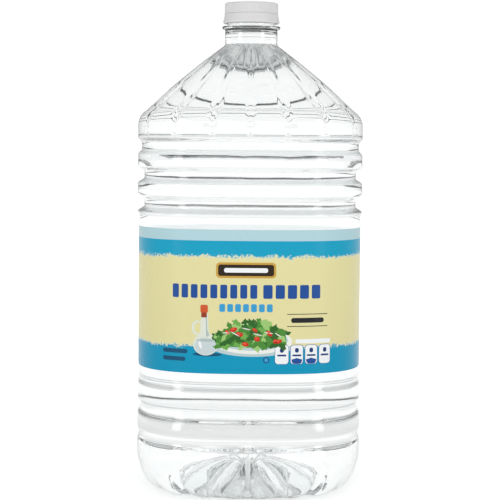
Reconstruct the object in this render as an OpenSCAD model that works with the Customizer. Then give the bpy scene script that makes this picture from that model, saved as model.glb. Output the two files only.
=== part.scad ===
// A clear square-shouldered vinegar bottle with a wrap label and a screw cap.
// Millimetres, +Z up. The origin is the centre of the foot, on the surface it stands on.
// The middle of the label's front faces -Y.

/* [Body] */
// Width across two opposite faces of the label panel
body_w = 136; // [110:1:170]
// Shape of the cross-section, where 2 is a circle and more is squarer
squareness = 2.9; // [2:0.05:3.6]
// Thickness of the moulded wall
wall_t = 0.6; // [0.4:0.1:1]
// Height of the plain panel that carries the label
panel_h = 97.8; // [70:0.2:130]
// Height of the plain band under the shoulder
drum_h = 6.8; // [6:0.2:20]
// How far the rib crests and the band stand out past the panel
crest_out = 0.7; // [0:0.1:2]

/* [Foot] */
// Height of the rounded heel
heel_h = 24.6; // [14:0.2:30]
// How far the foot is drawn in from the panel
heel_in = 16; // [8:0.5:20]
// Width of the flat ring that the bottle stands on
foot_ring_w = 4; // [2:0.5:8]
// Rise of the base at its centre
push_up = 16; // [8:1:24]
// Extra rise of each of the ten grooves that run out from the centre
base_groove_rise = 2.4; // [1:0.2:4]

/* [Ribs] */
// Distance from one groove to the next
rib_pitch = 17.25; // [15:0.05:24]
// Height of a groove's flat floor
floor_h = 4; // [2:0.5:5]
// Height of the slope on each side of a groove
flank_h = 3.2; // [2:0.1:4]
// Depth of the two deep grooves over the label
deep_groove = 3.9; // [1:0.1:5]
// Depth of the groove under the plain band
top_groove = 2.3; // [1:0.1:4]
// Depth of the groove between the label and the heel
low_groove = 1.8; // [0.5:0.1:4]
// Depth of the shallow dips on either side of it
dip = 1; // [0.3:0.1:2]

/* [Shoulder] */
// Height of the sloping shoulder
shoulder_h = 50.7; // [40:0.1:66]
// How far the shoulder's rounded edge is drawn in from the band
edge_in = 5.4; // [2:0.1:8]
// Height of that rounded edge
edge_h = 9.8; // [5:0.2:12]
// How far the slope swells out past a straight line
swell = 1.9; // [0:0.1:4]
// Height of the rounded root of the neck
root_h = 2.2; // [1:0.1:4]
// How far the slope's top stands out past the neck
root_out = 2.2; // [1:0.1:4]
// Depth of the twenty flutes that run up the shoulder
flute_depth = 1.5; // [0.5:0.1:2.5]
// Half the angle that one flute takes up, in degrees
flute_a = 3.1; // [2:0.1:4.5]

/* [Neck] */
// Outer diameter of the mouth inside the cap
finish_d = 29.6; // [24:0.2:40]
// Thickness of the mouth's wall
finish_wall = 1.6; // [1:0.1:3]
// How far the plain neck stands out past the mouth
neck_step = 1.3; // [0.6:0.1:3]
// How far the support ring stands out past the plain neck
ring_out = 1.7; // [1:0.1:4]
// Height of the plain neck under the support ring
neck_h = 9.3; // [5:0.1:15]
// Thickness of the support ring
ring_t = 1.6; // [1:0.1:3]
// Gap between the support ring and the tamper band
ring_gap = 1.8; // [0.4:0.1:4]
// How far the drink stands up the neck
level_up = 4; // [1:0.5:8]

/* [Cap] */
// Height of the ridged skirt, from its lower edge to the cap's top face
cap_h = 6.7; // [5:0.1:9]
// Thickness of the cap's skirt with its ridges
skirt_t = 1.35; // [1.2:0.05:2]
// Thickness of the cap's top
cap_top_t = 1.4; // [1:0.1:3]
// Radius of the cap's rounded top edge
cap_round = 1.1; // [0.6:0.1:1.4]
// Number of grip ridges
ridges = 96; // [48:12:132]
// Depth of the grip ridges
ridge_t = 0.3; // [0.2:0.05:0.5]
// Height of the tamper band
band_h = 5.6; // [4:0.1:8]
// How far the band's lower edge stands out past the cap
band_flare = 0.9; // [0.3:0.1:1.5]
// Slit between the cap and its band, crossed by small bridges
slit_h = 0.3; // [0.2:0.05:0.6]
// Number of bridges
bridges = 12; // [6:1:20]
// Clearance between the mouth and what goes round it
cap_gap = 0.3; // [0.2:0.05:0.6]

/* [Label] */
// Thickness of the label
label_t = 0.2; // [0.1:0.05:0.4]
// Bare panel left above the label
label_top_gap = 7.5; // [1:0.1:16]
// Bare panel left below the label
label_low_gap = 6; // [1:0.1:16]

/* [Hidden] */
$fn = 96;

// Colours
clear_plastic = [0.86, 0.92, 0.93, 0.35];
clear_drink = [0.93, 0.96, 0.95, 0.6];
label_print = [0.9, 0.87, 0.64];
white_plastic = [0.93, 0.93, 0.93];

// Column counts: plain rings have 40 points, fluted rings 60, as three to a flute
flutes = 20;
step_a = 360 / flutes;
plain_n = 2 * flutes;
fluted_n = 3 * flutes;
// A base groove runs over every fourth plain column, starting with the third
groove_every = 4;

// Heights, stacked from the foot up
groove_half = floor_h / 2 + flank_h;
low_lead = flank_h + 6.7;
low_tail = 1.9;
high_lead = groove_half + 1.1;
z_heel = heel_h;
z_panel = z_heel + low_lead + 2 * rib_pitch + low_tail;
z_panel_top = z_panel + panel_h;
z_drum = z_panel_top + high_lead + 2 * rib_pitch + groove_half;
z_pocket = z_drum + 1;
z_edge = z_drum + drum_h;
z_slope = z_edge + edge_h;
z_neck = z_edge + shoulder_h;
z_root = z_neck - root_h;
z_level = z_neck + level_up;
z_ring = z_neck + neck_h;
z_ring_top = z_ring + ring_t;
z_band_low = z_ring_top + ring_gap;
z_band_top = z_band_low + band_h;
z_cap_low = z_band_top + slit_h;
z_cap_top = z_cap_low + cap_h;
z_lip = z_cap_top - cap_top_t;
z_label = z_panel + label_low_gap;
z_label_top = z_panel_top - label_top_gap;

// Radii across the flats
r_panel = body_w / 2;
r_crest = r_panel + crest_out;
r_foot = r_panel - heel_in;
r_foot_in = r_foot - foot_ring_w;
r_slope = r_crest - edge_in;
r_finish = finish_d / 2;
r_bore = r_finish - finish_wall;
r_neck = r_finish + neck_step;
r_ring = r_neck + ring_out;
r_cap_bore = r_finish + cap_gap;
r_cap = r_cap_bore + skirt_t;
r_gate = 12;
r_groove_end = r_foot_in - 9;

// Heights on the base, over the surface it stands on
z_gate = push_up - 1;
z_groove_end = push_up * 0.26;

// ---- stations: [height, radius, squareness, depth of the flutes, rise of the base grooves] ----

function station(z, r, n = squareness, flute = 0, rise = 0) = [z, r, n, flute, rise];

// One groove: down a flank, along its floor and up the other flank
function groove(z, deep, floor = floor_h, flank = flank_h) = concat(
    [station(z - floor / 2 - flank, r_crest)],
    [station(z - floor / 2, r_crest - deep)],
    floor > 0 ? [station(z + floor / 2, r_crest - deep)] : [],
    [station(z + floor / 2 + flank, r_crest)]);

// The base, from just outside its centre to the flat ring of the foot
base = [
    station(z_gate, r_gate, 2),
    station(z_groove_end, r_groove_end, 2.5, 0, base_groove_rise),
    station(0, r_foot_in),
    station(0, r_foot)];

// The heel is a quarter of an ellipse
heel = [for (a = [30, 60, 90]) station(heel_h * (1 - cos(a)), r_foot + (r_crest - r_foot) * sin(a))];

low_ribs = concat(
    groove(z_heel + low_lead, dip, 0),
    groove(z_heel + low_lead + rib_pitch, low_groove),
    [station(z_heel + low_lead + 2 * rib_pitch, r_crest - dip)]);

high_ribs = concat(
    groove(z_panel_top + high_lead, deep_groove),
    groove(z_panel_top + high_lead + rib_pitch, deep_groove),
    groove(z_panel_top + high_lead + 2 * rib_pitch, top_groove));

// The section turns from square to round on the way up the shoulder, and the flutes run out
function slope(t) = station(
    z_slope + (z_root - z_slope) * t,
    r_slope + (r_neck + root_out - r_slope) * t + swell * sin(180 * t),
    squareness + (2 - squareness) * t,
    flute_depth * (1 - 0.8 * t));

// A flute starts in a pocket in the plain band; a hair's depth there makes the ring a fluted one
shoulder = concat(
    [station(z_pocket, r_crest, squareness, 0.01)],
    [station(z_pocket + 2, r_crest, squareness, flute_depth)],
    [station(z_edge, r_crest, squareness, flute_depth)],
    [station(z_edge + edge_h * 0.5, r_crest - edge_in * 0.32, squareness, flute_depth)],
    [for (t = [0, 0.5, 1]) slope(t)]);

outside = concat(base, heel, low_ribs, [station(z_panel, r_panel), station(z_panel_top, r_panel)],
    high_ribs, shoulder, [station(z_neck, r_neck, 2)]);

finish = [
    station(z_ring, r_neck, 2),
    station(z_ring, r_ring, 2),
    station(z_ring_top, r_ring, 2),
    station(z_ring_top, r_finish, 2),
    station(z_lip, r_finish, 2)];

// ---- the inside is the outside moved in by the wall along its own normal ----

function unit(v) = v / norm(v);
function run(p, i) = unit([p[i + 1][0] - p[i][0], p[i + 1][1] - p[i][1]]);
function heading(p, i) = unit(run(p, max(i - 1, 0)) + run(p, min(i, len(p) - 2)));
function moved_in(p, t) = [for (i = [0:len(p) - 1])
    let (d = heading(p, i), s = p[i])
    [s[0] + t * d[1], s[1] - t * d[0], s[2], s[3], s[4]]];

inside = moved_in([for (i = [0:len(outside) - 2]) outside[i]], wall_t);
z_floor = push_up + wall_t;

// ---- rings, strips and lofts ----

function reach(a, r, n) = r / pow(pow(abs(cos(a)), n) + pow(abs(sin(a)), n), 1 / n);
function at(a, r, z) = [r * cos(a), r * sin(a), z];
function ring_n(s) = s[3] > 0 ? fluted_n : plain_n;
function plain_ring(s) = [for (i = [0:plain_n - 1])
    at(i * step_a / 2, reach(i * step_a / 2, s[1], s[2]), s[0] + (i % groove_every == 2 ? s[4] : 0))];
function fluted_ring(s) = [for (k = [0:flutes - 1]) for (d = [-1, 0, 1])
    let (a = k * step_a + d * flute_a)
    at(a, reach(a, s[1], s[2]) - (d == 0 ? s[3] : 0), s[0])];
function ring(s) = s[3] > 0 ? fluted_ring(s) : plain_ring(s);

// Triangles between ring a (na points from index a) and ring b, of the same or the other count.
// On the way down a four-sided face is cut along its other diagonal, so that the bottle's
// inside and the drink, which climbs the same rings, meet face to face.
function strip(a, na, b, nb, down) =
    na == nb && down ? [for (i = [0:na - 1]) let (j = (i + 1) % na)
        each [[a + i, b + i, a + j], [b + i, b + j, a + j]]] :
    na == nb ? [for (i = [0:na - 1]) let (j = (i + 1) % na)
        each [[a + i, b + i, b + j], [a + i, b + j, a + j]]] :
    na < nb ? [for (k = [0:flutes - 1]) let (
            p = [for (i = [0:2]) a + (2 * k + i) % na],
            q = [for (i = [1:4]) b + (3 * k + i) % nb])
        each [[p[0], q[0], q[1]], [p[0], q[1], p[1]], [p[1], q[1], q[2]],
            [p[1], q[2], p[2]], [p[2], q[2], q[3]]]] :
    [for (k = [0:flutes - 1]) let (
            p = [for (i = [1:4]) a + (3 * k + i) % na],
            q = [for (i = [0:2]) b + (2 * k + i) % nb])
        each [[p[0], q[0], p[1]], [p[1], q[0], q[1]], [p[1], q[1], p[2]],
            [p[2], q[1], q[2]], [p[2], q[2], p[3]]]];

function sums(v, i = 0, total = 0) = i == len(v) ? [] : concat([total], sums(v, i + 1, total + v[i]));

// A closed skin through the stations, from a point at z_from on the axis to one at z_to.
// From the station numbered turn, the skin runs down the inside.
module loft(stations, z_from, z_to, turn) {
    counts = [for (s = stations) ring_n(s)];
    starts = sums(counts);
    last = len(stations) - 1;
    pole = starts[last] + counts[last];
    points = concat([for (s = stations) each ring(s)], [[0, 0, z_from], [0, 0, z_to]]);
    sides = [for (i = [0:last - 1])
        each strip(starts[i], counts[i], starts[i + 1], counts[i + 1], i >= turn)];
    first_fan = [for (i = [0:counts[0] - 1]) [pole, i, (i + 1) % counts[0]]];
    last_fan = [for (i = [0:counts[last] - 1])
        [starts[last] + i, pole + 1, starts[last] + (i + 1) % counts[last]]];
    polyhedron(points, concat(first_fan, sides, last_fan));
}

// A closed skin through plain stations that come back to the first
module loop_loft(stations) {
    count = len(stations);
    points = [for (s = stations) each ring(s)];
    sides = [for (i = [0:count - 1])
        each strip(i * plain_n, plain_n, ((i + 1) % count) * plain_n, plain_n, false)];
    polyhedron(points, sides);
}

function backwards(v) = [for (i = [len(v) - 1:-1:0]) v[i]];

// ---- the pieces ----

module bottle() {
    bore = [station(z_lip, r_bore, 2), station(z_neck, r_bore, 2)];
    way_up = concat(outside, finish);
    way_down = concat(bore, backwards(inside));
    color(clear_plastic) loft(concat(way_up, way_down), push_up, z_floor, len(way_up));
}

module vinegar() {
    way_up = concat(inside, [station(z_neck, r_bore, 2), station(z_level, r_bore, 2)]);
    color(clear_drink) loft(way_up, z_floor, z_level, len(way_up));
}

module label() {
    color(label_print) loop_loft([
        station(z_label, r_panel + label_t),
        station(z_label_top, r_panel + label_t),
        station(z_label_top, r_panel),
        station(z_label, r_panel)]);
}

// Outline of the ridged skirt: each ridge is one step out and one step in
function ridge_outline() = [for (i = [0:2 * ridges - 1])
    let (a = i * 180 / ridges, r = r_cap - (i % 2) * ridge_t) [r * cos(a), r * sin(a)]];

module cap() {
    r_smooth = r_cap - ridge_t;
    color(white_plastic) difference() {
        union() {
            translate([0, 0, z_cap_low]) linear_extrude(cap_h - cap_round) polygon(ridge_outline());
            rotate_extrude() union() {
                translate([0, z_cap_top - cap_round]) square([r_smooth - cap_round, cap_round]);
                translate([0, z_cap_low]) square([r_smooth, cap_h - cap_round]);
                intersection() {
                    translate([r_smooth - cap_round, z_cap_top - cap_round]) circle(cap_round);
                    translate([0, z_cap_top - cap_round]) square([r_cap, cap_round]);
                }
            }
        }
        translate([0, 0, z_cap_low - 1]) cylinder(r = r_cap_bore, h = cap_h - cap_top_t + 1);
    }
}

module tamper_band() {
    r_top = r_cap - ridge_t;
    color(white_plastic) {
        rotate_extrude() polygon([
            [r_cap_bore, z_band_low],
            [r_cap + band_flare, z_band_low],
            [r_cap + band_flare, z_band_low + 1.2],
            [r_top, z_band_top],
            [r_cap_bore, z_band_top]]);
        for (i = [0:bridges - 1])
            rotate([0, 0, (i + 0.5) * 360 / bridges])
                translate([r_cap_bore + 0.15, -0.5, z_band_top - 0.2]) cube([0.6, 1, slit_h + 0.2]);
    }
}

bottle();
vinegar();
label();
cap();
tamper_band();
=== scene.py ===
# %% [markdown]
# # A gallon of vinegar in clear plastic
# This lesson builds the looks of a clear, ribbed bottle with a printed film label, a white screw
# cap and the drink inside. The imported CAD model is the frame: it says how wide, how high and where
# every piece is. The lesson replaces each plain CAD solid with a finely made piece in the same
# place, and gives each piece a finish made of shader nodes.

# %% Load the frame
import math

import bpy
import numpy as np
from mathutils import Euler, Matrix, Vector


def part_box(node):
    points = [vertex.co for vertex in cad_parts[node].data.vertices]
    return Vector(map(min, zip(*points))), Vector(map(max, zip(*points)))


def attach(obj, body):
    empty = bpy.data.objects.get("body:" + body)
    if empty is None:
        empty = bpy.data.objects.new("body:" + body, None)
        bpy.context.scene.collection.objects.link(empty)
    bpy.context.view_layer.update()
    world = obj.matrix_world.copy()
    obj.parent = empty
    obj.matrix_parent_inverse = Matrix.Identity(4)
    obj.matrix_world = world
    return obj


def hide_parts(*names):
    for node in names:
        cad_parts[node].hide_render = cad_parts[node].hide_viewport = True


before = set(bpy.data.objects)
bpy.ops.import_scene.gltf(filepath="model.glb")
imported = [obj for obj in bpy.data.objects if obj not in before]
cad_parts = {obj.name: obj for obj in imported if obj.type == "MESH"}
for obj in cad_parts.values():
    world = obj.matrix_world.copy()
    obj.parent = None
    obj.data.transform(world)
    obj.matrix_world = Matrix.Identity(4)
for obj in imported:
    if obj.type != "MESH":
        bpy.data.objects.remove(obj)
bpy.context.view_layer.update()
mm = 0.001

# %% [markdown]
# ## Sizes
# Heights and radii that the frame knows are read from its boxes, so the looks follow the CAD
# model. What the boxes can't tell, such as the spacing of the ribs, is named here once.

# %% Sizes from the frame, and the bottle's own
_, bottle_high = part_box("bottle")
drink_low, drink_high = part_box("vinegar")
label_low, label_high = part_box("label")
cap_low, cap_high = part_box("cap")
band_low, band_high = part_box("tamper_band")

r_crest = bottle_high.x
crest_out = 0.7 * mm
r_panel = r_crest - crest_out
z_lip = bottle_high.z
z_level = drink_high.z
wall = drink_low.z
r_band = band_high.x
r_cap = cap_high.x
label_t = label_high.x - r_panel

# The heel, and the ring round the pushed-up base that the bottle stands on
heel_h = 24.6 * mm
heel_in = 16 * mm
foot_ring_w = 4 * mm
push_up = 16 * mm
groove_depth = 3.6 * mm
pleat_depth = 2.0 * mm
r_foot = r_panel - heel_in
r_foot_in = r_foot - foot_ring_w

# The ribs, from centre to centre, and the leads from their ends to what stands next to them
rib_pitch = 17.25 * mm
floor_half = 2 * mm
flank_h = 3.2 * mm
low_lead = 6.7 * mm
high_lead = 1.1 * mm
deep_groove = 3.9 * mm
top_groove = 2.3 * mm
low_groove = 1.8 * mm
dip = 1.0 * mm
label_gap_low = 6 * mm
label_gap_high = 7.5 * mm
z_low_rib = heel_h + flank_h + low_lead
z_panel = label_low.z - label_gap_low
z_panel_top = label_high.z + label_gap_high
z_high_rib = z_panel_top + floor_half + flank_h + high_lead

# The plain band over the ribs, the shoulder and its root at the neck
drum_h = 6.8 * mm
edge_h = 9.8 * mm
edge_in = 5.4 * mm
swell = 1.9 * mm
root_h = 2.2 * mm
root_out = 2.2 * mm
level_up = 4 * mm
z_drum = z_high_rib + 2 * rib_pitch + floor_half + flank_h
z_edge = z_drum + drum_h
z_slope = z_edge + edge_h
z_neck = z_level - level_up
z_root = z_neck - root_h

# The neck, its support ring and the mouth inside the cap
skirt_and_gap = 1.65 * mm
finish_wall = 1.6 * mm
neck_step = 1.3 * mm
throat_wall = 1.0 * mm
ring_out = 1.7 * mm
ring_gap = 1.8 * mm
ring_t = 1.6 * mm
z_ring_top = band_low.z - ring_gap
z_ring = z_ring_top - ring_t
r_finish = r_cap - skirt_and_gap
r_bore = r_finish - finish_wall
r_neck = r_finish + neck_step
r_throat = r_neck - throat_wall
r_ring = r_neck + ring_out

# The cross-section's exponent, and the flutes, whose half widths are in degrees
square = 2.9
flutes = 20
flute_depth = 1.5 * mm
flute_half = 3.0
faint_flute = 0.14 * mm
tip_half = 1.1
print("panel from", round(z_panel, 4), "to", round(z_panel_top, 4), "neck at", round(z_neck, 4))

# %% [markdown]
# ## How a blown bottle is drawn
# A blow-moulded bottle is one skin. Its side view is an outline, a list of rows from the centre
# of the base up to the mouth. Its cross-section turns from a bulged square in the body to a
# circle at the neck. One formula covers both: a superellipse, whose exponent is 2 for a circle
# and nearly 3 for this body. A mesh grid swept through both gives clean quads that shade smoothly,
# which matters more in clear plastic than anywhere else, because every facet bends the light.

# %% Helpers for smooth steps, rows and bumps
def smooth(x, low, high):
    """0 below low, 1 above high, with a soft S between."""
    t = np.clip((np.asarray(x, float) - low) / (high - low), 0, 1)
    return t * t * (3 - 2 * t)


def rows(z, r, n=square, flute=0.0, half=3.0):
    """Rows of the outline: height, radius across the flats, exponent, and each flute's depth
    and half width in degrees."""
    parts = np.broadcast_arrays(z, r, n, flute, half)
    return np.stack(parts, -1).astype(float).reshape(-1, 5)


def bend(start, corner, end, count):
    """Points along a soft corner from start to end that heads for the corner point."""
    t = np.linspace(0, 1, count)[:, None]
    start, corner, end = (np.array(p, float) for p in (start, corner, end))
    return (1 - t) ** 2 * start + 2 * t * (1 - t) * corner + t ** 2 * end


# %% [markdown]
# ## The ribs
# Each rib groove is a dip in the radius with soft flanks. Two deep grooves and a lighter one
# stiffen the bottle over the label. Under it there are two shallow dips with a groove between.

# %% Radius of the body at a height
# Each row: its centre's height, half its floor, the height of a flank, and its depth
GROOVES = [
    (z_low_rib, 0.2 * mm, 4.6 * mm, dip),
    (z_low_rib + rib_pitch, floor_half, flank_h, low_groove),
    (z_low_rib + 2 * rib_pitch, 0.2 * mm, 3.4 * mm, dip),
    (z_high_rib, floor_half, flank_h, deep_groove),
    (z_high_rib + rib_pitch, floor_half, flank_h, deep_groove),
    (z_high_rib + 2 * rib_pitch, floor_half, flank_h, top_groove),
]
panel_step = 0.8 * mm


def body_radius(z):
    """Crest radius, less the grooves and the recessed label panel."""
    z = np.asarray(z, float)
    inset = np.zeros_like(z)
    for centre, half, flank, depth in GROOVES:
        inset = np.maximum(inset, depth * (1 - smooth(abs(z - centre), half, half + flank)))
    panel = smooth(z, z_panel - panel_step, z_panel + panel_step)
    panel *= 1 - smooth(z, z_panel_top - panel_step, z_panel_top + panel_step)
    return r_crest - np.maximum(inset, crest_out * panel)


# %% The outline of the outside, from base to mouth
def outline():
    base_r = np.linspace(2 * mm, r_foot_in, 24)
    base_z = push_up * (1 - (base_r / r_foot_in) ** 1.35) ** 0.95
    base = rows(base_z, base_r, 2 + (square - 2) * (base_r / r_foot) ** 1.5)
    foot = rows(0.0, np.linspace(r_foot_in, r_foot, 5)[1:])
    a = np.radians(np.concatenate([[4, 8, 12, 16], np.linspace(21, 90, 11)]))
    heel = rows(heel_h * (1 - np.cos(a)), r_foot + (r_crest - r_foot) * np.sin(a))
    heights = [heel_h, z_panel - panel_step, z_panel, z_panel + panel_step, z_drum]
    heights += list(np.linspace(z_panel_top - panel_step, z_panel_top + panel_step, 4))
    for centre, half, flank, depth in GROOVES:
        reach = half + flank
        heights += list(np.linspace(centre - reach, centre - half, 6))
        heights += list(np.linspace(centre + half, centre + reach, 6))
    heights = np.unique(np.round([z for z in heights if z > heel_h], 6))
    body = rows(heights, body_radius(heights))
    drum_z = np.linspace(z_drum, z_edge, 12)[1:]
    drum = rows(drum_z, r_crest, square, faint_flute, tip_half)
    r_slope = r_crest - edge_in
    edge = bend((z_edge, r_crest), (z_edge + 6.4 * mm, r_crest), (z_slope, r_slope), 11)[1:]
    opened = smooth(edge[:, 0], z_edge - 1 * mm, z_slope)
    shoulder = rows(
        edge[:, 0], edge[:, 1], square,
        faint_flute + (flute_depth - faint_flute) * opened,
        tip_half + (flute_half - tip_half) * opened)
    t = np.linspace(0, 1, 22)[1:]
    r_top = r_neck + root_out
    slope = rows(
        z_slope + (z_root - z_slope) * t,
        r_slope + (r_top - r_slope) * t + swell * np.sin(np.pi * t),
        square + (2 - square) * t,
        flute_depth * (1 - 0.7 * t), flute_half * (1 + 0.25 * t))
    root = bend((z_root, r_top), (z_root + 1.4 * mm, r_neck), (z_neck, r_neck), 6)[1:]
    root_flute = flute_depth * 0.2 * (1 - smooth(root[:, 0], z_root, z_neck))
    return np.concatenate([
        base, foot, heel, body, drum, shoulder, slope,
        rows(root[:, 0], root[:, 1], 2.0, root_flute)])


body_rows = outline()
print("outline rows", len(body_rows))

# %% [markdown]
# ## Columns
# The flutes on the shoulder and the grooves in the base sit on the same twenty directions, so
# the grid's columns crowd together there and thin out between. That puts the faces where the
# shape needs them.

# %% Column directions, in degrees
near = [-3.6, -2.8, -2.0, -1.4, -0.9, -0.45, 0, 0.45, 0.9, 1.4, 2.0, 2.8, 3.6]
between = [6.2, 9.0, 11.8]
step = 360 / flutes
columns = np.array([k * step + a for k in range(flutes) for a in near + between])
print("columns", len(columns))


def section(a, r, n):
    """Distance from the axis to a superellipse of half width r, in direction a in degrees."""
    c, s = np.abs(np.cos(np.radians(a))), np.abs(np.sin(np.radians(a)))
    return r / (c ** n + s ** n) ** (1 / n)


def from_flute(a):
    """Degrees from direction a to the nearest flute."""
    return (a + step / 2) % step - step / 2


def uneven(a, z):
    """The slow waviness of a blown wall, about a tenth of a millimetre."""
    a = np.radians(a)
    w = np.sin(3 * a + 40 * z + 1.0) + 0.8 * np.sin(7 * a - 95 * z) + 0.6 * np.sin(13 * a + 170 * z)
    return 0.04 * mm * w


def dent(a, z):
    """The round dent that ends each flute low on the plain band."""
    distance = np.hypot(np.radians(from_flute(a)) * r_crest, z - z_drum - 1.4 * mm)
    return 0.3 * mm * (1 - smooth(distance, 0.2 * mm, 1.7 * mm))


def base_groove(a, r):
    """How far the ten narrow grooves and the pleats cut into the base. They leave the ring it
    stands on whole and start again on the heel."""
    apart = (a - step) % (2 * step)
    apart = np.radians(np.minimum(apart, 2 * step - apart))
    across = r * np.sin(apart)
    narrow = groove_depth * (1 - smooth(across, 1.2 * mm, 4.2 * mm))
    pleat = pleat_depth * smooth(abs(from_flute(a + step / 2)) / step, 0.05, 0.45)
    ring = smooth(r, r_foot_in - 7 * mm, r_foot_in)
    ring = ring * (1 - smooth(r, r_foot + 1 * mm, r_foot + 6 * mm))
    return (narrow + pleat) * smooth(r, 4 * mm, 14 * mm) * (1 - ring)


def inset_rows(outer, depth):
    """The outline moved in along its own normals."""
    dz, dr = np.gradient(outer[:, 0]), np.gradient(outer[:, 1])
    size = np.hypot(dz, dr)
    moved = outer.copy()
    moved[:, 0] += depth * dr / size
    moved[:, 1] -= depth * dz / size
    return moved


def rings(outline_rows):
    """The grid of points: every row swept round every column. The base's grooves lift it, and
    on the heel they turn by and by into a cut towards the axis."""
    z, r, n, flute, half = (outline_rows[:, i][:, None] for i in range(5))
    a = columns[None, :]
    fluted = flute * (1 - smooth(abs(from_flute(a)) / half, 0.3, 1.0))
    fluted = fluted + dent(a, z) * (r > r_panel)
    on_body = smooth(r, 30 * mm, 50 * mm) * smooth(z, 2 * mm, 10 * mm)
    out = section(a, r, n) - fluted + uneven(a, z) * on_body
    on_heel = r > r_foot
    cut = base_groove(a, out) * (z < heel_h) * (1 - smooth(z, 2 * mm, 19 * mm) * on_heel)
    climbs = smooth(r, r_foot, r_crest - 2 * mm) * on_heel
    lift = cut * (1 - climbs)
    out = out - cut * climbs
    x, y = out * np.cos(np.radians(a)), out * np.sin(np.radians(a))
    return np.stack([x, y, z + lift], -1)


# %% A mesh from rings of points
def skin(name, grid, start=None, end=None, joined=False):
    """Quads between rings. start and end are axis points that close it; joined ties the
    last ring back to the first."""
    count, around = grid.shape[:2]
    points = [tuple(p) for p in grid.reshape(-1, 3)]
    i = np.arange(count if joined else count - 1)[:, None]
    j = np.arange(around)[None, :]
    up = (i + 1) % count
    right = (j + 1) % around
    corners = [i * around + j, i * around + right, up * around + right, up * around + j]
    faces = np.stack(np.broadcast_arrays(*corners), -1).reshape(-1, 4).tolist()
    if start is not None:
        points.append((0, 0, start))
        faces += [(len(points) - 1, (k + 1) % around, k) for k in range(around)]
    if end is not None:
        points.append((0, 0, end))
        first = (count - 1) * around
        faces += [(first + k, first + (k + 1) % around, len(points) - 1) for k in range(around)]
    return piece(name, points, faces)


def piece(name, points, faces):
    mesh = bpy.data.meshes.new(name)
    mesh.from_pydata(points, [], faces)
    mesh.polygons.foreach_set("use_smooth", [True] * len(mesh.polygons))
    mesh.update()
    made = bpy.data.objects.new(name, mesh)
    bpy.context.scene.collection.objects.link(made)
    return made


# %% [markdown]
# ## Shader helpers
# A material is a small graph. These helpers place nodes and join them, so each material below
# reads as a recipe.

# %% Node helpers
def material(name):
    """A new material with its Principled shader, ready to fill in."""
    made = bpy.data.materials.new(name)
    made.use_nodes = True
    tree = made.node_tree
    return made, tree, tree.nodes["Principled BSDF"]


def add(tree, kind, **values):
    """A node. Names with a capital set its sockets, the others its own settings."""
    node = tree.nodes.new(kind)
    for key, value in values.items():
        if key[0].isupper():
            node.inputs[key.replace("_", " ")].default_value = value
        else:
            setattr(node, key, value)
    return node


def join(tree, source, target):
    tree.links.new(source, target)


def feed(tree, value, socket):
    """Sets a socket to a number or a colour, or joins it to another node's socket."""
    if isinstance(value, bpy.types.NodeSocket):
        join(tree, value, socket)
    else:
        socket.default_value = value


def remap(tree, source, low, high, start=0.0, stop=1.0):
    """Turns a value between start and stop into one between low and high."""
    node = add(
        tree, "ShaderNodeMapRange", From_Min=start, From_Max=stop, To_Min=low, To_Max=high)
    join(tree, source, node.inputs["Value"])
    return node.outputs[0]


def noise(tree, place, scale, detail):
    """Cloudy noise, as a value around a half."""
    node = add(tree, "ShaderNodeTexNoise", Scale=scale, Detail=detail)
    join(tree, place, node.inputs["Vector"])
    return node.outputs["Fac"]


def calc(tree, operation, a, b=0.0):
    """One step of arithmetic on numbers or other nodes' sockets."""
    node = add(tree, "ShaderNodeMath", operation=operation)
    feed(tree, a, node.inputs[0])
    feed(tree, b, node.inputs[1])
    return node.outputs[0]


def grey(tree, value):
    """A colour with the same value in all three channels."""
    node = add(tree, "ShaderNodeCombineColor")
    for socket in node.inputs:
        join(tree, value, socket)
    return node.outputs[0]


def raise_surface(tree, shader, height, strength, distance):
    """Bends the surface's normals as if the height were really there."""
    node = add(tree, "ShaderNodeBump", Strength=strength, Distance=distance)
    join(tree, height, node.inputs["Height"])
    join(tree, node.outputs[0], shader.inputs["Normal"])


def see_through_shadow(tree, shader, tint):
    """Lets light reach what stands behind clear plastic: to shadow rays it is a tinted pane."""
    path = add(tree, "ShaderNodeLightPath")
    pane = add(tree, "ShaderNodeBsdfTransparent", Color=(*tint, 1))
    mix = add(tree, "ShaderNodeMixShader")
    join(tree, path.outputs["Is Shadow Ray"], mix.inputs[0])
    join(tree, shader.outputs[0], mix.inputs[1])
    join(tree, pane.outputs[0], mix.inputs[2])
    join(tree, mix.outputs[0], tree.nodes["Material Output"].inputs["Surface"])


# %% [markdown]
# ## Clear plastic
# Bottle plastic is a shade denser than glass in looks: it bends light by 1.57 and has soft
# ripples left by the mould. The ripples are a low bump, too slow to blur what is behind.

# %% Clear plastic
plastic_ior = 1.57


def clear_plastic():
    made, tree, shader = material("clear_plastic")
    shader.inputs["Base Color"].default_value = (0.985, 0.995, 0.995, 1)
    shader.inputs["Transmission Weight"].default_value = 1.0
    shader.inputs["IOR"].default_value = plastic_ior
    place = add(tree, "ShaderNodeTexCoord").outputs["Object"]
    gloss = remap(tree, noise(tree, place, 55.0, 1.0), 0.0, 0.035)
    join(tree, gloss, shader.inputs["Roughness"])
    raise_surface(tree, shader, noise(tree, place, 120.0, 1.0), 0.10, 0.0004)
    see_through_shadow(tree, shader, (0.93, 0.95, 0.95))
    return made


# %% [markdown]
# ## The bottle's wall
# The wall is a closed shell: up the outside, over the lip, and down the inside. The inside is
# the outside moved in by the wall's thickness, except in the thick neck, which has a bore that
# widens into a throat under the support ring.

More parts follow.
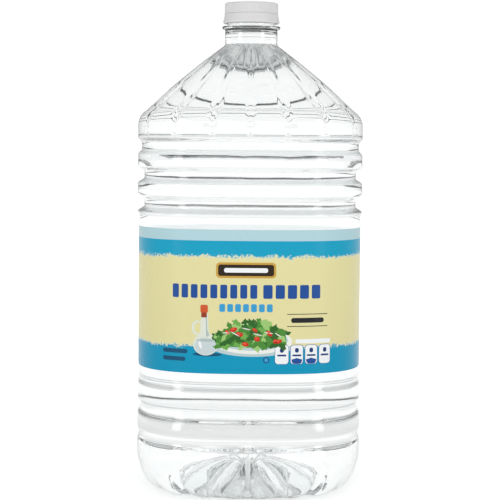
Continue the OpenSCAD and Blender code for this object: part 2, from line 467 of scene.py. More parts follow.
# %% Build the wall
def soft_ring(z_from, z_to, r_from, r_out):
    """The support ring: out, round its edge, and back in."""
    edge = 0.4 * mm
    points = [(z_from, r_from), (z_from, r_out - edge)]
    low = bend((z_from, r_out - edge), (z_from, r_out), (z_from + edge, r_out), 5)
    high = bend((z_to - edge, r_out), (z_to, r_out), (z_to, r_out - edge), 5)
    return points + [tuple(p) for p in low[1:]] + [tuple(p) for p in high]


def neck_rows():
    points = [(z, r_neck) for z in np.linspace(z_neck, z_ring - 0.3 * mm, 6)[1:]]
    points += soft_ring(z_ring, z_ring_top, r_neck + 0.2 * mm, r_ring)
    points += [(z_ring_top, r_finish + 0.3 * mm), (z_ring_top + 0.3 * mm, r_finish)]
    points += [(z, r_finish) for z in np.linspace(z_ring_top + 2 * mm, z_lip - 0.5 * mm, 4)]
    points += [(z_lip, r_finish - 0.5 * mm), (z_lip, r_bore + 0.4 * mm), (z_lip - 0.4 * mm, r_bore)]
    points += [(z, r_bore) for z in np.linspace(z_lip - 3 * mm, z_ring_top, 3)]
    throat = bend((z_ring, r_bore), (z_ring - 1 * mm, r_throat), (z_ring - 4 * mm, r_throat), 7)
    points += [tuple(p) for p in throat]
    points += [(z_neck + 1.5 * mm, r_throat), (z_neck + 0.5 * mm, r_throat + 0.1 * mm)]
    points = np.array(points)
    return rows(points[:, 0], points[:, 1], 2.0)


def drop_crowded(line, least):
    """Leaves out rows closer than least to the one before."""
    kept = [0]
    for i in range(1, len(line)):
        if np.hypot(*(line[i, :2] - line[kept[-1], :2])) > least:
            kept.append(i)
    return line[kept]


inside_rows = drop_crowded(inset_rows(body_rows, wall), 1.3 * mm)
wall_rows = np.concatenate([body_rows, neck_rows(), inside_rows[::-1]])
bottle = skin("bottle_wall", rings(wall_rows), start=push_up, end=push_up + wall)
bottle.data.materials.append(clear_plastic())
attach(bottle, "root")
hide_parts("bottle")
print("bottle wall", len(bottle.data.polygons), "faces")

# %% [markdown]
# ## The drink
# Where a drink touches a clear wall there must be no film of air, or the bottle looks empty.
# So the drink's skin runs inside the wall, half its thickness deep. Light then enters the
# plastic, enters the drink and only then leaves the wall's inner face.

# %% Clear drink
drink_ior = 1.335


def clear_drink():
    made, tree, shader = material("clear_drink")
    shader.inputs["Transmission Weight"].default_value = 1.0
    shader.inputs["IOR"].default_value = drink_ior
    shader.inputs["Roughness"].default_value = 0.0
    place = add(tree, "ShaderNodeTexCoord").outputs["Object"]
    tint = remap(tree, noise(tree, place, 20.0, 2.0), 0.99, 1.0)
    colour = add(tree, "ShaderNodeCombineColor", Blue=0.995)
    join(tree, tint, colour.inputs["Red"])
    join(tree, tint, colour.inputs["Green"])
    join(tree, colour.outputs[0], shader.inputs["Base Color"])
    see_through_shadow(tree, shader, (0.98, 0.99, 0.99))
    return made


def drink_rows():
    into_wall = inset_rows(body_rows, wall * 0.5)
    into_wall = into_wall[into_wall[:, 0] < z_root]
    r_drink = r_throat + 0.4 * mm
    neck = [(z_neck + 0.2 * mm, r_drink + 0.1 * mm)]
    neck += [(z, r_drink) for z in np.linspace(z_neck + 1 * mm, z_level, 4)]
    surface = [(z_level - 0.05 * mm, r_throat - 0.1 * mm), (z_level - 0.4 * mm, r_throat - 1 * mm)]
    surface += [(z_level - 0.6 * mm, r) for r in (r_throat - 2.5 * mm, 6 * mm, 2 * mm)]
    points = np.array(neck + surface)
    neck_part = rows(points[:, 0], points[:, 1], 2.0)
    return np.concatenate([drop_crowded(into_wall, 0.6 * mm), neck_part])


drink = skin("drink", rings(drink_rows()), start=push_up + wall * 0.5, end=z_level - 0.6 * mm)
drink.data.materials.append(clear_drink())
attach(drink, "root")
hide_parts("vinegar")
print("drink", len(drink.data.polygons), "faces, level", round(z_level, 4))

# %% [markdown]
# ## The label
# The label is one strip of printed film that goes all the way round and overlaps at the back.
# Its print is drawn flat. Each point of the strip carries its flat place, the distance round
# from the middle of the front and the height, so patterns and printed shapes follow the wrap.

# %% Flat places on the label
front = -90.0
dense = np.linspace(-180, 180, 7201)


def label_point(along, z, lift=0.0):
    """A point on the label from its flat place, in metres, lifted off the surface."""
    r = r_panel + label_t
    a = np.interp(along, label_arc, dense)
    c = np.radians(a + front)
    reach = section(a + front, r, square)
    x, y = reach * np.cos(c), reach * np.sin(c)
    nx = np.sign(x) * np.abs(x / r) ** (square - 1)
    ny = np.sign(y) * np.abs(y / r) ** (square - 1)
    size = np.hypot(nx, ny)
    return np.stack([x + lift * nx / size, y + lift * ny / size, np.broadcast_to(z, x.shape)], -1)


dense_r = section(dense + front, r_panel + label_t, square)
dense_x = dense_r * np.cos(np.radians(dense + front))
dense_y = dense_r * np.sin(np.radians(dense + front))
label_arc = np.concatenate([[0], np.cumsum(np.hypot(np.diff(dense_x), np.diff(dense_y)))])
label_arc -= label_arc[-1] / 2
half_round = label_arc[-1]
print("label length", round(2 * half_round, 4))

# %% [markdown]
# ## A grain shared by every printed colour
# Ink on film is never perfectly even. One shader node group gives all the inks the same faint
# unevenness: it takes a colour and gives back the colour with grain, and a gloss that wanders.

# %% The ink grain group
def ink_grain_group():
    group = bpy.data.node_groups.new("ink_grain", "ShaderNodeTree")
    sockets = group.interface
    sockets.new_socket("Colour", in_out="INPUT", socket_type="NodeSocketColor")
    amount = sockets.new_socket("Amount", in_out="INPUT", socket_type="NodeSocketFloat")
    amount.default_value = 0.05
    sockets.new_socket("Colour", in_out="OUTPUT", socket_type="NodeSocketColor")
    for name in ("Gloss", "Height"):
        sockets.new_socket(name, in_out="OUTPUT", socket_type="NodeSocketFloat")
    start = add(group, "NodeGroupInput")
    end = add(group, "NodeGroupOutput")
    place = add(group, "ShaderNodeTexCoord").outputs["Object"]
    fine = noise(group, place, 1400.0, 2.0)
    slow = noise(group, place, 28.0, 2.0)
    mottled = add(group, "ShaderNodeMix", data_type="RGBA", blend_type="MULTIPLY")
    join(group, calc(group, "MULTIPLY", start.outputs["Amount"], 6.0), mottled.inputs[0])
    join(group, start.outputs["Colour"], mottled.inputs[6])
    join(group, remap(group, fine, 0.94, 1.06), mottled.inputs[7])
    join(group, mottled.outputs[2], end.inputs["Colour"])
    join(group, remap(group, slow, 0.20, 0.32), end.inputs["Gloss"])
    join(group, slow, end.inputs["Height"])
    return group


ink_grain = ink_grain_group()


def srgb(red, green, blue):
    """A colour on the usual 0 to 255 scale, as the linear colour a shader wants."""
    parts = np.array([red, green, blue]) / 255
    linear = np.where(parts <= 0.04045, parts / 12.92, ((parts + 0.055) / 1.055) ** 2.4)
    return (*linear.tolist(), 1.0)


def finish_ink(tree, shader, amount):
    """Places the grain group in front of a shader and returns it, ready for a colour."""
    grain = add(tree, "ShaderNodeGroup", node_tree=ink_grain, Amount=amount)
    shader.inputs["Specular IOR Level"].default_value = 0.12
    join(tree, grain.outputs["Colour"], shader.inputs["Base Color"])
    join(tree, grain.outputs["Gloss"], shader.inputs["Roughness"])
    raise_surface(tree, shader, grain.outputs["Height"], 0.06, 0.0003)
    return grain


def ink(name, *colour):
    """One printed colour."""
    made, tree, shader = material("ink_" + name)
    finish_ink(tree, shader, 0.12).inputs["Colour"].default_value = srgb(*colour)
    return made


# %% [markdown]
# ## The ground colours of the label
# The print runs from a pale strip down through blue, cream and blue again, and where blue and
# cream meet the edge is torn, with a pale fringe. A torn edge is a height with noise added to
# it: everything above the wandering height is one colour, everything below the other.

# %% The torn edge group
def torn_edge_group():
    group = bpy.data.node_groups.new("torn_edge", "ShaderNodeTree")
    sockets = group.interface
    for name in ("Along", "Up", "Edge"):
        sockets.new_socket(name, in_out="INPUT", socket_type="NodeSocketFloat")
    for name in ("Above", "Fringe"):
        sockets.new_socket(name, in_out="OUTPUT", socket_type="NodeSocketFloat")
    start = add(group, "NodeGroupInput")
    end = add(group, "NodeGroupOutput")
    flat = add(group, "ShaderNodeCombineXYZ")
    join(group, start.outputs["Along"], flat.inputs[0])
    join(group, start.outputs["Up"], flat.inputs[1])
    height = calc(group, "SUBTRACT", start.outputs["Up"], start.outputs["Edge"])
    for scale, reach in ((0.10, 1.6), (0.55, 3.0), (1.5, 2.2)):
        push = remap(group, noise(group, flat.outputs[0], scale, 2.0), -reach, reach)
        height = calc(group, "ADD", height, push)
    away = calc(group, "ABSOLUTE", height)
    join(group, remap(group, height, 0.0, 1.0, -0.12, 0.12), end.inputs["Above"])
    join(group, remap(group, away, 1.0, 0.0, 0.0, 0.9), end.inputs["Fringe"])
    return group


torn_edge = torn_edge_group()

# %% Label film
BLUE_TOP = srgb(26, 160, 195)
BLUE_LOW = srgb(14, 150, 188)
CREAM = srgb(226, 219, 163)
STRIP = srgb(178, 211, 218)
FRINGE = srgb(224, 232, 214)
z_strip = 154.7
z_torn_top = 145.2
z_torn_low = 93.0


def blend(tree, factor, low, high):
    """Mixes two colours, each a colour or another node's socket."""
    mix = add(tree, "ShaderNodeMix", data_type="RGBA")
    join(tree, factor, mix.inputs[0])
    feed(tree, low, mix.inputs[6])
    feed(tree, high, mix.inputs[7])
    return mix.outputs[2]


def label_film():
    made, tree, shader = material("label_film")
    flat = add(tree, "ShaderNodeUVMap", uv_map="flat")
    size = add(tree, "ShaderNodeVectorMath", operation="SCALE", Scale=1000)
    parts = add(tree, "ShaderNodeSeparateXYZ")
    join(tree, flat.outputs[0], size.inputs[0])
    join(tree, size.outputs[0], parts.inputs[0])
    along, up = parts.outputs[0], parts.outputs[1]
    upper = add(tree, "ShaderNodeGroup", node_tree=torn_edge, Edge=z_torn_top)
    lower = add(tree, "ShaderNodeGroup", node_tree=torn_edge, Edge=z_torn_low)
    for edge in (upper, lower):
        join(tree, along, edge.inputs["Along"])
        join(tree, up, edge.inputs["Up"])
    colour = blend(tree, lower.outputs["Above"], BLUE_LOW, CREAM)
    colour = blend(tree, upper.outputs["Above"], colour, BLUE_TOP)
    fringe = calc(tree, "MAXIMUM", lower.outputs["Fringe"], upper.outputs["Fringe"])
    colour = blend(tree, calc(tree, "MULTIPLY", fringe, 0.65), colour, FRINGE)
    strip = remap(tree, up, 0.0, 1.0, z_strip - 0.1, z_strip + 0.1)
    colour = blend(tree, strip, colour, STRIP)
    join(tree, colour, finish_ink(tree, shader, 0.08).inputs["Colour"])
    return made


# %% [markdown]
# ## Wrapping a flat shape onto the label
# Every printed shape is an outline drawn flat, in millimetres from the middle of the front.
# It becomes a plate thinner than a hair that lies on the film. Its columns stand close
# together, so it bends with the wrap.

# %% The label's sheet and its print
def backing_with_painted_glow():
    """The inside of the film, with a painted glow: it gives off a little light of its own, standing
    in for daylight that comes through the thin film.
    """
    made = ink("backing_with_painted_glow", 240, 243, 244)
    shader = made.node_tree.nodes["Principled BSDF"]
    # Painted light: the backing glows white, though it is no lamp.
    shader.inputs["Emission Color"].default_value = (1, 1, 1, 1)
    shader.inputs["Emission Strength"].default_value = 0.45
    return made


def wrapped(name, along, low, high, lift, finish, levels=2, sink=0.02 * mm, backing=None):
    """A thin closed plate between two edges, low and high, that run along the label."""
    t = np.linspace(0, 1, levels)[:, None]
    z = low[None, :] * (1 - t) + high[None, :] * t
    u = np.broadcast_to(along, z.shape)
    outer = label_point(u, z, lift)
    inner = label_point(u, z, -np.abs(sink))
    points = [tuple(p) for p in np.concatenate([outer.reshape(-1, 3), inner.reshape(-1, 3)])]
    count, half = len(along), len(points) // 2
    faces, rim = [], []
    for i in range(levels - 1):
        for j in range(count - 1):
            a, d = i * count + j, (i + 1) * count + j
            b, c = a + 1, d + 1
            faces.append((a, b, c, d))
            faces.append((half + d, half + c, half + b, half + a))
    for j in range(count - 1):
        top = (levels - 1) * count + j
        rim.append((j + 1, j, half + j, half + j + 1))
        rim.append((top, top + 1, half + top + 1, half + top))
    for i in range(levels - 1):
        a, b = i * count, (i + 1) * count
        rim.append((a, b, half + b, half + a))
        rim.append((b + count - 1, a + count - 1, half + a + count - 1, half + b + count - 1))
    made = piece(name, points, faces + rim)
    made.data.polygons.foreach_set("use_smooth", [True] * len(faces) + [False] * len(rim))
    flat = made.data.uv_layers.new(name="flat")
    places = np.stack([u.ravel(), z.ravel()], -1)
    places = np.concatenate([places, places])
    corners = np.empty(len(made.data.loops), np.int32)
    made.data.loops.foreach_get("vertex_index", corners)
    flat.data.foreach_set("uv", places[corners].ravel())
    made.data.materials.append(finish)
    if backing:
        made.data.materials.append(backing)
        sides = [k % 2 for k in range(len(faces))] + [1] * len(rim)
        made.data.polygons.foreach_set("material_index", sides)
    made.data.set_sharp_from_angle(angle=math.radians(40))
    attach(made, "root")
    return made


overlap = 5 * mm
along = np.arange(-half_round - overlap, half_round + overlap + mm, 2 * mm)
lifted = 0.15 * mm * smooth(along, half_round - 2.5 * overlap, half_round - overlap)
label = wrapped(
    "label_sheet", along, np.full(len(along), label_low.z), np.full(len(along), label_high.z),
    lifted, label_film(), levels=13, sink=label_t, backing=backing_with_painted_glow())
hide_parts("label")
print("label sheet", len(label.data.polygons), "faces")

# %% Outlines to print
# Every outline is drawn a little small. Layers of ink stand this many millimetres off the film.
artwork_scale = 1.03
low_ink, mid_ink, top_ink = 0.03, 0.06, 0.09


def printed(name, outline_mm, lift, finish):
    """A plate from a flat closed outline, in millimetres."""
    u, z = np.array(outline_mm, float).T * artwork_scale
    left, right = np.argmin(u), np.argmax(u)
    turned = np.roll(np.arange(len(u)), -left)
    split = int(np.where(turned == right)[0][0])
    chains = [turned[:split + 1], np.concatenate([turned[split:], turned[:1]])[::-1]]
    spread = np.arange(u[left], u[right], 1.5)
    stops = np.unique(np.round(np.concatenate([u, spread]), 3))
    edges = [np.interp(stops, u[chain], z[chain]) for chain in chains]
    low, high = np.minimum(*edges), np.maximum(*edges)
    high = np.maximum(high, low + 0.01)
    return wrapped(name, stops * mm, low * mm, high * mm, lift * mm, finish)


def pill(u0, u1, z0, z1, corner):
    """A box with rounded corners."""
    points = []
    for cu, cz, start in (
            (u0 + corner, z0 + corner, 180), (u1 - corner, z0 + corner, 270),
            (u1 - corner, z1 - corner, 0), (u0 + corner, z1 - corner, 90)):
        for a in np.radians(np.linspace(start, start + 90, 7)):
            points.append((cu + corner * math.cos(a), cz + corner * math.sin(a)))
    return points


def oval(cu, cz, half_u, half_z, turn=0.0, frill=0.0, count=28, seed=0):
    """An oval, turned, with an edge that may be frilled like a leaf."""
    t = np.linspace(0, 2 * np.pi, count, endpoint=False)
    reach = 1 + frill * np.sin(t * 5 + seed) + 0.5 * frill * np.sin(t * 9 + 2.3 * seed)
    x, y = half_u * reach * np.cos(t), half_z * reach * np.sin(t)
    c, s = math.cos(turn), math.sin(turn)
    return [(cu + a * c - b * s, cz + a * s + b * c) for a, b in zip(x, y)]


# %% [markdown]
# ## The print
# The words of a real label aren't copied. Plain bars in the same colours stand in their
# places, and simple drawn shapes stand for a cruet and a plate of salad.

# %% Bars and tablets
brown, gold = ink("brown", 52, 42, 34), ink("gold", 200, 158, 72)
deep_blue, light_blue = ink("deep_blue", 38, 80, 152), ink("light_blue", 62, 158, 208)
black, white = ink("black", 40, 42, 46), ink("white", 240, 243, 244)
navy, steel = ink("navy", 36, 62, 118), ink("steel", 24, 84, 118)

printed("print_badge_rim", pill(-18.8, 15.2, 129.2, 138.0, 2.2), low_ink, gold)
printed("print_badge", pill(-17.6, 14.0, 130.4, 136.8, 1.4), mid_ink, brown)
printed("print_badge_bar", pill(-14.2, 10.6, 132.3, 134.9, 1.1), top_ink, white)


def block_row(name, u0, u1, z0, z1, count, gap, finish):
    """A row of plain rounded blocks that stands where a line of print would be."""
    width = (u1 - u0 + gap) / count - gap
    for k in range(count):
        left = u0 + k * (width + gap)
        printed(f"{name}_{k}", pill(left, left + width, z0, z1, 0.9), low_ink, finish)


block_row("print_title_left", -44.6, 4.6, 117.6, 125.4, 9, 1.7, deep_blue)
block_row("print_title_right", 8.0, 41.2, 117.6, 125.4, 5, 1.7, deep_blue)
block_row("print_subtitle", -16.8, 13.4, 110.0, 114.5, 7, 1.2, light_blue)
printed("print_rule_high", pill(21.7, 46.0, 108.6, 109.0, 0.15), low_ink, black)
printed("print_rule_low", pill(21.7, 46.0, 101.7, 102.1, 0.15), low_ink, black)
printed("print_note", pill(24.0, 43.6, 103.9, 106.7, 1.2), low_ink, black)
printed("print_amount_high", pill(-51.2, -35.2, 85.8, 88.2, 1.0), low_ink, steel)
printed("print_amount_low", pill(-51.2, -36.4, 81.4, 83.8, 1.0), low_ink, steel)
printed("print_dot_rim", oval(10.0, 82.7, 1.75, 1.75), low_ink, navy)
printed("print_dot", oval(10.0, 82.7, 1.2, 1.2), mid_ink, light_blue)
printed("print_tablet_heading", pill(26.5, 48.2, 92.2, 94.6, 0.9), low_ink, white)
for k, (u0, u1) in enumerate(((15.0, 22.6), (23.9, 31.0), (32.4, 39.5), (40.9, 48.0))):
    rim = pill(u0 - 0.25, u1 + 0.25, 80.25, 91.45, 1.9)
    printed(f"print_tablet_rim_{k}", rim, low_ink, deep_blue)
    printed(f"print_tablet_{k}", pill(u0, u1, 80.5, 91.2, 1.7), mid_ink, white)
    centre = (u0 + u1) / 2
    mark = pill(centre - 1.1, centre + 1.1, 87.0, 89.6, 0.9)
    bar = pill(centre - 2.6, centre + 2.6, 84.9, 85.9, 0.4)
    printed(f"print_tablet_mark_{k}", mark, top_ink, navy)
    printed(f"print_tablet_bar_{k}", bar, top_ink, navy)
    if k in (1, 2):
        bowl = [(u0 + 0.3, 83.0), (u0 + 0.9, 81.2), (u0 + 1.8, 80.6)]
        bowl += [(u1 - 1.8, 80.6), (u1 - 0.9, 81.2), (u1 - 0.3, 83.0)]
        printed(f"print_tablet_bowl_{k}", bowl + [(centre, 83.9)], top_ink, deep_blue)

# %% Panels on the sides and the back
pale_brown = ink("pale_brown", 150, 138, 96)
printed("print_panel_rim", pill(118.0, 158.0, 97.4, 140.6, 1.6), low_ink, black)
printed("print_panel", pill(118.5, 157.5, 97.9, 140.1, 1.3), mid_ink, white)
printed("print_panel_head", pill(121.0, 147.0, 134.4, 137.6, 0.8), top_ink, black)
for k in range(8):
    z, short = 130.6 - 4.0 * k, (0, 9, 4, 12)[k % 4]
    printed(f"print_panel_line_{k}", pill(121.0, 155.0, z + 1.7, z + 1.95, 0.1), top_ink, black)
    row = pill(121.0, 143.0 - short, z - 0.8, z + 0.5, 0.5)
    printed(f"print_panel_row_{k}", row, top_ink, black)
    printed(f"print_panel_end_{k}", pill(150.0, 155.0, z - 0.8, z + 0.5, 0.5), top_ink, black)
printed("print_side_head", pill(-158.0, -124.0, 131.0, 135.4, 1.5), low_ink, deep_blue)
for k in range(6):
    short = (0, 6, 2, 14, 4, 22)[k]
    row = pill(-158.0, -112.0 - short, 124.4 - 4.2 * k, 126.2 - 4.2 * k, 0.8)
    printed(f"print_side_row_{k}", row, low_ink, pale_brown)

# %% A cruet
glass_grey, glass_light = ink("glass_grey", 176, 190, 186), ink("glass_light", 222, 228, 214)
cork, cork_dark = ink("cork", 206, 92, 52), ink("cork_dark", 150, 66, 44)
cloudy = ink("cloudy", 200, 212, 214)
printed("print_cruet_shade", oval(-23.6, 85.6, 8.4, 1.1), 0.02, steel)
printed("print_cruet_handle", oval(-29.3, 100.6, 3.4, 4.2), low_ink, glass_light)
printed("print_cruet_handle_gap", oval(-28.9, 100.6, 2.3, 3.1), 0.04, ink("cream", 226, 219, 163))
neck_left = [(-23.2, 109.0), (-27.6, 109.0), (-27.2, 100.0)]
neck_outline = [(-27.9, 95.0), (-21.6, 95.0), (-22.8, 100.0)] + neck_left
neck_side = [(-24.2, 95.5), (-22.4, 96.5), (-23.6, 100.0), (-23.8, 108.6), (-24.5, 108.6)]
printed("print_cruet_neck", neck_outline, 0.05, glass_light)
printed("print_cruet_neck_side", neck_side, mid_ink, glass_grey)
printed("print_cruet_body", oval(-24.5, 91.3, 7.3, 6.3), 0.05, glass_light)
printed("print_cruet_drink", oval(-24.5, 90.3, 6.3, 4.9), mid_ink, cloudy)
printed("print_cruet_line", oval(-24.5, 93.6, 5.4, 0.7), 0.07, glass_grey)
printed("print_cruet_glint", oval(-27.6, 91.0, 0.8, 2.3, 0.3), 0.07, white)
printed("print_cork", pill(-27.6, -23.3, 109.3, 113.8, 0.9), mid_ink, cork)
printed("print_cork_low", pill(-27.1, -23.9, 106.6, 109.5, 0.6), mid_ink, cork_dark)

# %% A plate of salad
rng = np.random.default_rng(7)
leaf_count, tomato_count, onion_count = 96, 9, 6
plate, plate_shade = ink("plate", 236, 238, 232), ink("plate_shade", 186, 206, 208)
greens = [ink(f"leaf_{k}", *c) for k, c in enumerate(
    ((52, 104, 46), (78, 140, 60), (112, 172, 82), (156, 200, 118), (196, 222, 158)))]
tomato, tomato_light = ink("tomato", 208, 52, 34), ink("tomato_light", 232, 104, 76)
onion = ink("onion", 232, 226, 222)
printed("print_plate_shade", oval(2.0, 89.6, 22.6, 5.0), 0.02, plate_shade)
printed("print_plate", oval(1.9, 93.4, 22.9, 7.3, count=60), low_ink, plate)
printed("print_plate_well", oval(1.9, 94.0, 20.4, 5.9, count=60), 0.035, plate_shade)


def heap_height(u):
    """How high the salad stands at a place along the plate."""
    return 93.0 + 12.0 * max(0.0, 1 - ((u - 1.5) / 23.0) ** 2) ** 0.7


heap = [(u, 90.4 - 0.6 * math.cos(u / 8)) for u in np.linspace(-19, 21.5, 12)]
heap += [(u, heap_height(u) - 1.2) for u in np.linspace(21, -18.5, 24)]
printed("print_salad_ground", heap, 0.038, greens[1])
for k in range(leaf_count):
    u = rng.uniform(-19.0, 21.0)
    z = rng.uniform(90.0, heap_height(u))
    shade = greens[min(4, int(abs(rng.normal(1.6, 1.7))))]
    half_u, half_z, turn = rng.uniform(1.8, 3.6), rng.uniform(1.0, 2.0), rng.uniform(-1.2, 1.2)
    leaf = oval(u, z, half_u, half_z, turn, 0.16, 30, k)
    printed(f"print_leaf_{k:02d}", leaf, 0.04 + 0.0008 * k, shade)
for k in range(tomato_count):
    u = -14.0 + 32.0 * k / (tomato_count - 1) + rng.uniform(-2, 2)
    z = rng.uniform(91.5, heap_height(u) - 2.5)
    half_u, half_z, turn = rng.uniform(1.3, 2.2), rng.uniform(0.9, 1.4), rng.uniform(-0.8, 0.8)
    printed(f"print_tomato_{k}", oval(u, z, half_u, half_z, turn), 0.122, tomato)
    glint = oval(u - 0.3, z + 0.3, half_u * 0.45, half_z * 0.35, turn)
    printed(f"print_tomato_glint_{k}", glint, 0.13, tomato_light)
for k in range(onion_count):
    u = -12.0 + 28.0 * k / (onion_count - 1) + rng.uniform(-1.5, 1.5)
    z = rng.uniform(92.5, heap_height(u) - 2.0)
    sliver = oval(u, z, rng.uniform(1.8, 3.0), 0.3, rng.uniform(-0.6, 0.6))
    printed(f"print_onion_{k}", sliver, 0.126, onion)

# %% [markdown]
# ## White moulded plastic
# The cap and its tamper band are the same white plastic, with a satin surface and a fine grain.
# The ridges are real notches in the shape, so they catch the light at every angle.

# %% White plastic
def white_plastic():
    made, tree, shader = material("white_plastic")
    shader.inputs["IOR"].default_value = 1.5
    place = add(tree, "ShaderNodeTexCoord").outputs["Object"]
    cloud = noise(tree, place, 160.0, 3.0)
    join(tree, grey(tree, remap(tree, cloud, 0.70, 0.74)), shader.inputs["Base Color"])
    join(tree, remap(tree, cloud, 0.28, 0.42), shader.inputs["Roughness"])
    raise_surface(tree, shader, noise(tree, place, 900.0, 2.0), 0.12, 0.0002)
    return made


satin_white = white_plastic()

# %% The cap
ridges = 96
ridge_t = 0.3 * mm
cap_round = 1.1 * mm
cap_dish = 0.12 * mm


def turned(profile, directions, ridge_mask, ridge_depth):
    """A lathe form whose radius is notched by fine ridges where the mask is 1."""
    z, r = np.array(profile, float).T
    wave = 0.5 - 0.5 * np.cos(np.radians(directions * ridges))
    cut = ridge_depth * wave[None, :] ** 1.5 * np.array(ridge_mask)[:, None]
    reach = r[:, None] - cut
    a = np.radians(directions)[None, :]
    height = np.broadcast_to(z[:, None], reach.shape)
    return np.stack([reach * np.cos(a), reach * np.sin(a), height], -1)


def cap_profile():
    """From the middle of the underside, round the skirt, to the middle of the top. Each row is
    a height, a radius and how much of the ridges it carries."""
    z0, z1 = cap_low.z, cap_high.z
    under = z_lip
    inside = [(under, 4 * mm, 0), (under, 14.6 * mm, 0)]
    inside += [(under - 0.5 * mm, r_finish + 0.3 * mm, 0)]
    inside += [(z0 + 0.2 * mm, r_finish + 0.3 * mm, 0), (z0, r_finish + 0.5 * mm, 0)]
    skirt = [(z0, r_cap - 0.5 * mm, 0), (z0 + 0.15 * mm, r_cap - 0.15 * mm, 0.3)]
    skirt += [(z0 + 0.5 * mm, r_cap, 1)]
    skirt += [(z, r_cap, 1) for z in np.linspace(z0 + 1.2 * mm, z1 - cap_round - 0.3 * mm, 5)]
    edge = []
    for a in np.radians(np.linspace(0, 90, 9)[1:]):
        z = z1 - cap_round + cap_round * math.sin(a)
        r = r_cap - cap_round + cap_round * math.cos(a)
        edge.append((z, r, max(0, math.cos(a) * 1.4 - 0.4)))
    z_top = z1 - cap_dish
    top = [(z1, 13.5 * mm, 0), (z_top, 13.0 * mm, 0), (z_top, 6 * mm, 0), (z_top, 1.0 * mm, 0)]
    return inside + skirt + edge + top


profile = cap_profile()
fine_turn = np.arange(0, 360, 360 / ridges / 6)
cap_grid = turned([p[:2] for p in profile], fine_turn, [p[2] for p in profile], ridge_t)
cap = skin("screw_cap", cap_grid, start=z_lip, end=cap_high.z - cap_dish)
cap.data.materials.append(satin_white)
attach(cap, "root")
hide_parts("cap")
print("cap", len(cap.data.polygons), "faces")

# %% The tamper band
def band_profile():
    z0, z1 = band_low.z, band_high.z
    flare_top = r_cap
    points = [(z0 + 0.3 * mm, r_finish + 0.6 * mm), (z0, r_finish + 0.9 * mm)]
    points += [(z0, r_band - 0.5 * mm), (z0 + 0.15 * mm, r_band - 0.15 * mm)]
    points += [(z0 + 0.5 * mm, r_band), (z0 + 1.4 * mm, r_band)]
    points += [(z0 + 2.0 * mm, r_band - 0.25 * mm), (z1 - 1.2 * mm, flare_top + 0.1 * mm)]
    points += [(z1 - 0.2 * mm, flare_top), (z1, flare_top - 0.15 * mm), (z1, flare_top - 0.3 * mm)]
    points += [(cap_low.z, flare_top - 0.3 * mm), (cap_low.z, r_finish + 0.8 * mm)]
    points += [(z1 - 0.3 * mm, r_finish + 0.4 * mm), (z0 + 2 * mm, r_finish + 0.4 * mm)]
    return points


profile = band_profile()
mask = [1.0 if r >= r_cap - 0.1 * mm and z > band_low.z + 1.6 * mm else 0.0 for z, r in profile]
band = skin("tamper_band", turned(profile, fine_turn, mask, 0.12 * mm), joined=True)
band.data.materials.append(satin_white)
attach(band, "root")
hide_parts("tamper_band")
print("tamper band", len(band.data.polygons), "faces")

# %% [markdown]
# ## The studio
# Clear plastic shows only what stands round it, and in an all white room it would vanish. So
# the room tells kinds of light ray apart. The camera sees plain white. Rays that come through
# the plastic meet white behind the bottle and a little less in front, which draws thin grey
# lines along the ribs and flutes. Rays that light the label and the cap meet a bright front and
# darker sides, so both shade off towards their edges. Mirrored rays meet a dim room, so that
# the print keeps its colour.

# %% Room
room_seen, room_mirrored = 1.02, 0.30
lit_front, lit_side = 1.06, 0.48
through_front, through_behind, through_overhead = 0.95, 1.10, 0.94


def room():
    world = bpy.data.worlds.new("white_room")
    world.use_nodes = True
    tree = world.node_tree
    background = tree.nodes["Background"]
    parts = add(tree, "ShaderNodeSeparateXYZ")
    join(tree, add(tree, "ShaderNodeTexCoord").outputs["Generated"], parts.inputs[0])
    depth, height = parts.outputs[1], parts.outputs[2]
    strength = remap(tree, depth, lit_front, lit_side, -0.9, -0.2)
    through = remap(tree, depth, through_front, through_behind, -0.3, 0.35)
    overhead = remap(tree, height, 1.0, through_overhead, 0.55, 0.95)
    through = calc(tree, "MULTIPLY", through, overhead)
    path = add(tree, "ShaderNodeLightPath")
    by_kind = (("Glossy", room_mirrored), ("Transmission", through), ("Camera", room_seen))
    for kind, value in by_kind:
        pick = add(tree, "ShaderNodeMix", data_type="FLOAT")
        join(tree, path.outputs[f"Is {kind} Ray"], pick.inputs[0])
        join(tree, strength, pick.inputs[2])
        feed(tree, value, pick.inputs[3])
        strength = pick.outputs[0]
    join(tree, strength, background.inputs["Strength"])
    background.inputs["Color"].default_value = (1, 1, 1, 1)
    bpy.context.scene.world = world


room()

# %% Floor
# The floor gives off a little light of its own, less round the foot, as a painted shadow of the
# bottle.
floor_reach = 4.0
floor_drop = 0.2 * mm
glow_in_painted_shadow, glow_far = 0.03, 0.40
seen_glow, through_share = 0.45, 0.15


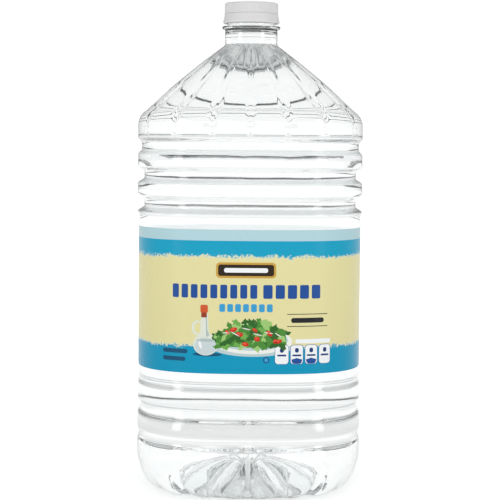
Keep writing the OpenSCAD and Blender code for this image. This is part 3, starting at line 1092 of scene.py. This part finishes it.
def floor_finish():
    made, tree, shader = material("white_floor")
    place = add(tree, "ShaderNodeTexCoord").outputs["Object"]
    tint = remap(tree, noise(tree, place, 3.0, 2.0), 0.93, 0.96)
    join(tree, grey(tree, tint), shader.inputs["Base Color"])
    shader.inputs["Roughness"].default_value = 0.9
    shader.inputs["Specular IOR Level"].default_value = 0.0
    away = add(tree, "ShaderNodeVectorMath", operation="LENGTH")
    join(tree, place, away.inputs[0])
    # Painted shadow: the floor's glow is low by the foot and rises with distance from the bottle.
    floor_glow_with_painted_shadow = remap(tree, away.outputs["Value"], glow_in_painted_shadow, glow_far, 0.09, 0.40)
    join(tree, grey(tree, floor_glow_with_painted_shadow), shader.inputs["Emission Color"])
    shader.inputs["Emission Strength"].default_value = 1.0
    path = add(tree, "ShaderNodeLightPath")
    extra = add(tree, "ShaderNodeEmission", Strength=seen_glow)
    both = add(tree, "ShaderNodeAddShader")
    seen = add(tree, "ShaderNodeMixShader")
    share = calc(tree, "MULTIPLY", path.outputs["Is Transmission Ray"], through_share)
    share = calc(tree, "ADD", share, path.outputs["Is Camera Ray"])
    join(tree, shader.outputs[0], both.inputs[0])
    join(tree, extra.outputs[0], both.inputs[1])
    join(tree, share, seen.inputs[0])
    join(tree, shader.outputs[0], seen.inputs[1])
    join(tree, both.outputs[0], seen.inputs[2])
    join(tree, seen.outputs[0], tree.nodes["Material Output"].inputs["Surface"])
    return made


corners = [(x * floor_reach, y * floor_reach, 0) for x, y in ((-1, -1), (1, -1), (1, 1), (-1, 1))]
floor = piece("floor", corners, [(0, 1, 2, 3)])
floor.location.z = -floor_drop
floor.data.materials.append(floor_finish())

# %% Strip lights
strip_w, strip_h = 0.26, 1.1
strip_watts = 2.0
strip_away, strip_up, strip_side = 1.1, 0.35, 52


def strip_light(name, side):
    """A tall narrow lamp at the front, off to one side."""
    lamp = bpy.data.lights.new(name, "AREA")
    lamp.shape = "RECTANGLE"
    lamp.size = strip_w
    lamp.size_y = strip_h
    lamp.energy = strip_watts
    holder = bpy.data.objects.new(name, lamp)
    a = math.radians(side)
    holder.location = (strip_away * math.sin(a), -strip_away * math.cos(a), strip_up)
    holder.rotation_euler = (math.radians(90), 0, a)
    bpy.context.scene.collection.objects.link(holder)
    return holder


for name, side in (("strip_left", -strip_side), ("strip_right", strip_side)):
    strip_light(name, side)

# %% [markdown]
# ## The camera
# A long lens about a metre away, at seven tenths of the bottle's height, tipped down a touch.
# From there the ribs bow down a little and the base shows through the drink.

# %% Camera
eye_right, eye_away, eye_high = 0.3 * mm, 1.021, 0.2098
tip_down, lean = 3.62, 0.48
eye = bpy.data.cameras.new("camera")
eye.lens = 118.4
eye.sensor_width = 36
eye.clip_start = 0.01
camera = bpy.data.objects.new("camera", eye)
camera.location = (eye_right, -eye_away, eye_high)
tipped = Euler((math.radians(90 - tip_down), 0, 0)).to_matrix()
leaned = Euler((0, 0, math.radians(lean))).to_matrix()
camera.rotation_euler = (tipped @ leaned).to_euler()
bpy.context.scene.collection.objects.link(camera)
bpy.context.scene.camera = camera

scene = bpy.context.scene
scene.view_settings.view_transform = "Standard"
scene.cycles.max_bounces = 32
scene.cycles.transmission_bounces = 32
scene.cycles.transparent_max_bounces = 16
scene.cycles.use_denoising = True
